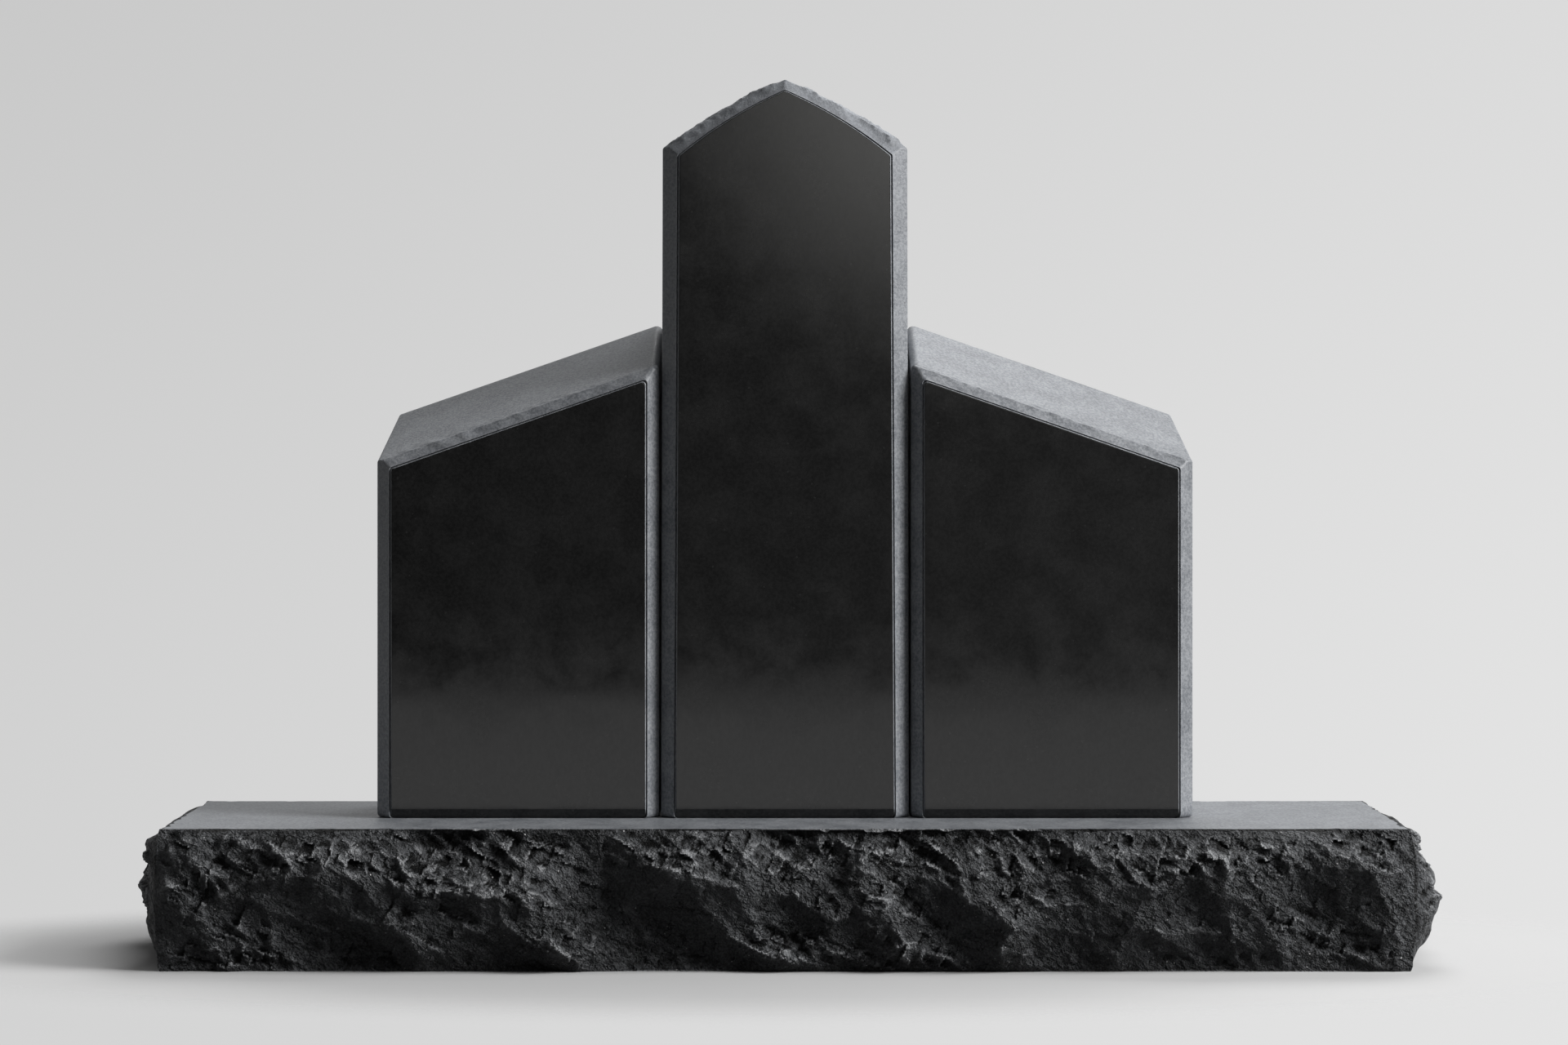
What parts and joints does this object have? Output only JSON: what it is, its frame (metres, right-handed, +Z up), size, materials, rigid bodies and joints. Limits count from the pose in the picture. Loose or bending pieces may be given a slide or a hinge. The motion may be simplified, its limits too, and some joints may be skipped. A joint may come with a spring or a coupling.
{
  "type": "upright headstone on a rock-faced base",
  "caption": "Upright headstone: a tall pointed tablet between lower slanted wings, polished panels with honed chamfers, on a rock-faced base slab",
  "frame": {"origin": "centre of the base's underside, on the ground", "axes": "X runs along the length of the base, the polished panels face -Y, Z is up"},
  "size_m": [1.9201, 0.5003, 1.3167],
  "materials": {
    "rock_faced_granite": "broken sides and a honed top",
    "polished_granite": "polished front panels, honed chamfers, tops, sides and backs"
  },
  "bodies": {
    "root": {"base": "rock_faced_granite", "centre_tablet": "polished_granite", "left_wing": "polished_granite", "right_wing": "polished_granite"}
  },
  "joints": []
}
